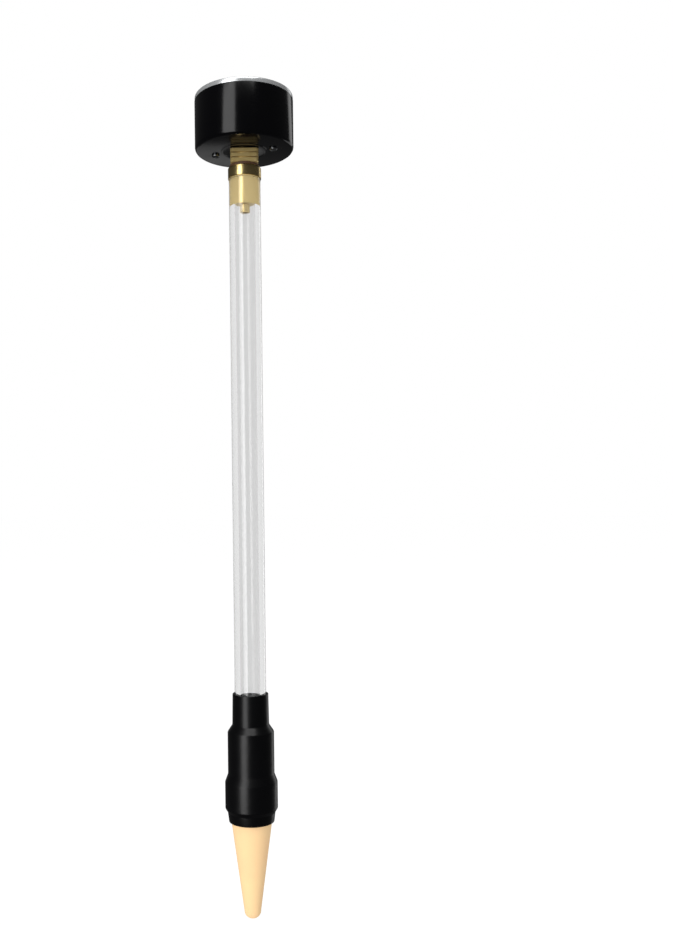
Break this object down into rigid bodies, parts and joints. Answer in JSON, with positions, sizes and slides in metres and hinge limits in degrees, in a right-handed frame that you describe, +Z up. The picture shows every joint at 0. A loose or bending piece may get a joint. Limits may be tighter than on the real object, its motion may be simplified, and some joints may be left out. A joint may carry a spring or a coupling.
{
  "type": "soil tensiometer with vacuum gauge",
  "caption": "Clear water tube with a porous ceramic cone in a rubber sleeve at its foot and a dial vacuum gauge on a brass stem at its top.",
  "frame": {"origin": "the ceramic cone's tip, where it goes deepest into the soil", "axes": "+Z up along the tube to the gauge; the dial faces +Z and its six o'clock points to -Y"},
  "size_m": [0.05, 0.05, 0.4166],
  "materials": {
    "ceramic": "unglazed porous ceramic",
    "rubber": "satin",
    "grey_plastic": "moulded",
    "acrylic": "polished clear",
    "brass": "turned",
    "fibre": "matte",
    "black_paint": "satin",
    "steel": "bright",
    "bronze": "drawn",
    "dial_white": "matte",
    "black_aluminium": "matte",
    "window_glass": "polished",
    "bezel_steel": "polished"
  },
  "bodies": {
    "water_tube": {"ceramic_cone": "ceramic", "cone_gasket": "rubber", "coupling_bush": "grey_plastic", "rubber_sleeve": "rubber", "clear_tube": "acrylic", "tube_adapter": "brass"},
    "washer": {"stem_washer": "fibre"},
    "gauge": {"gauge_socket": "brass", "restrictor_screw": "brass", "case": "black_paint", "back_screw_left": "steel", "back_screw_right": "steel", "bourdon_tube": "bronze", "hairspring": "bronze", "hairspring_stud": "brass", "movement_bottom_plate": "brass", "movement_top_plate": "brass", "movement_pillar_left": "brass", "movement_pillar_right": "brass", "movement_screw_left": "steel", "movement_screw_right": "steel", "dial": "dial_white", "dial_screw_left": "steel", "dial_screw_right": "steel", "window_seal": "rubber", "window": "window_glass", "bezel_ring": "bezel_steel"},
    "tube_tip": {"bourdon_tip": "brass", "link_pin_tip": "steel"},
    "sector": {"sector_gear": "brass", "sector_arbor": "steel", "link_pin_sector": "steel"},
    "link": {"connecting_link": "brass"},
    "pointer_shaft": {"pinion_arbor": "brass", "hairspring_collet": "brass", "pointer": "black_aluminium", "pointer_cap": "steel"}
  },
  "joints": [
    {"name": "gauge_lift", "type": "slide", "parent": "water_tube", "child": "washer", "axis": [0, 0, 1], "range_m": [0, 0.0082]},
    {"name": "gauge_turn", "type": "hinge", "parent": "washer", "child": "gauge", "pos_m": [0, 0, 0.3815], "axis": [0, 0, 1], "range_deg": [0, 3240]},
    {"name": "sector_swing", "type": "hinge", "parent": "gauge", "child": "sector", "pos_m": [0.0045, -0.008, 0.3974], "axis": [0, 0, 1], "range_deg": [-36, 0]},
    {"name": "pointer_turn", "type": "hinge", "parent": "gauge", "child": "pointer_shaft", "pos_m": [0, 0, 0.4081], "axis": [0, 0, 1], "range_deg": [0, 270], "deforming": ["hairspring"]},
    {"name": "tube_flex", "type": "hinge", "parent": "gauge", "child": "tube_tip", "pos_m": [-0.0023, 0.00515, 0.4004], "axis": [0, 0, 1], "range_deg": [-5.5, 0], "deforming": ["bourdon_tube"]},
    {"name": "link_swing", "type": "hinge", "parent": "sector", "child": "link", "pos_m": [0.00553, -0.01082, 0.3984], "axis": [0, 0, 1], "range_deg": [0, 27.5]}
  ],
  "couplings": [
    {"joint": "gauge_lift", "follows": "gauge_turn", "m_per_rad": 0.00014435},
    {"joint": "pointer_turn", "follows": "sector_swing", "ratio": -7.5},
    {"joint": "tube_flex", "follows": "sector_swing", "ratio": 0.14569},
    {"joint": "link_swing", "follows": "sector_swing", "ratio": -0.75163}
  ]
}
